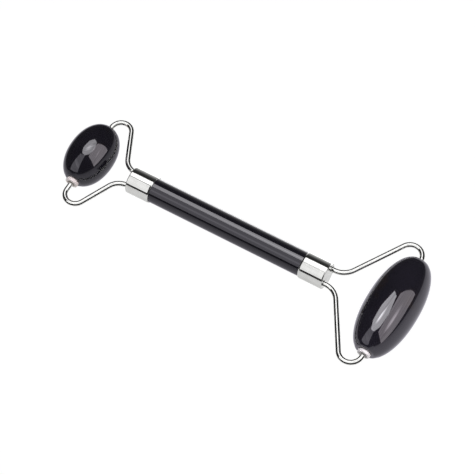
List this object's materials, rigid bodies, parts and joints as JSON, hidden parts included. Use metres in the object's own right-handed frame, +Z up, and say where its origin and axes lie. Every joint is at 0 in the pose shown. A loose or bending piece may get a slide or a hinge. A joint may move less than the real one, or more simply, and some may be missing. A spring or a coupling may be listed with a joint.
{
  "type": "face roller",
  "caption": "Two-ended facial massage roller: a round black stone handle, with a chromed wire fork at each end holding a barrel-shaped stone roller that spins.",
  "frame": {"origin": "middle of the footprint, on the surface that the two stones rest on", "axes": "+X along the handle to the large roller, Y along both rollers' axles, +Z up"},
  "size_m": [0.1452, 0.0538, 0.0193],
  "materials": {
    "handle_stone": "gloss",
    "roller_stone": "gloss",
    "chrome": "polished",
    "wire_chrome": "polished",
    "core_brass": "satin",
    "stud_steel": "satin",
    "bush_nylon": "satin"
  },
  "bodies": {
    "handle": {"handle_rod": "handle_stone", "large_end_ferrule": "chrome", "small_end_ferrule": "chrome", "large_end_core": "core_brass", "small_end_core": "core_brass", "large_end_stud": "stud_steel", "small_end_stud": "stud_steel", "large_fork_arm_left": "wire_chrome", "large_fork_arm_right": "wire_chrome", "small_fork_arm_left": "wire_chrome", "small_fork_arm_right": "wire_chrome"},
    "large_roller": {"large_roller_stone": "roller_stone", "large_roller_bush_left": "bush_nylon", "large_roller_bush_right": "bush_nylon"},
    "small_roller": {"small_roller_stone": "roller_stone", "small_roller_bush_left": "bush_nylon", "small_roller_bush_right": "bush_nylon"}
  },
  "joints": [
    {"name": "large_roller_spin", "type": "hinge", "parent": "handle", "child": "large_roller", "pos_m": [0.0629, 0.0005, 0.00967], "axis": [0, 1, 0], "continuous": true},
    {"name": "small_roller_spin", "type": "hinge", "parent": "handle", "child": "small_roller", "pos_m": [-0.06379, 0.0015, 0.00878], "axis": [0, 1, 0], "continuous": true}
  ]
}
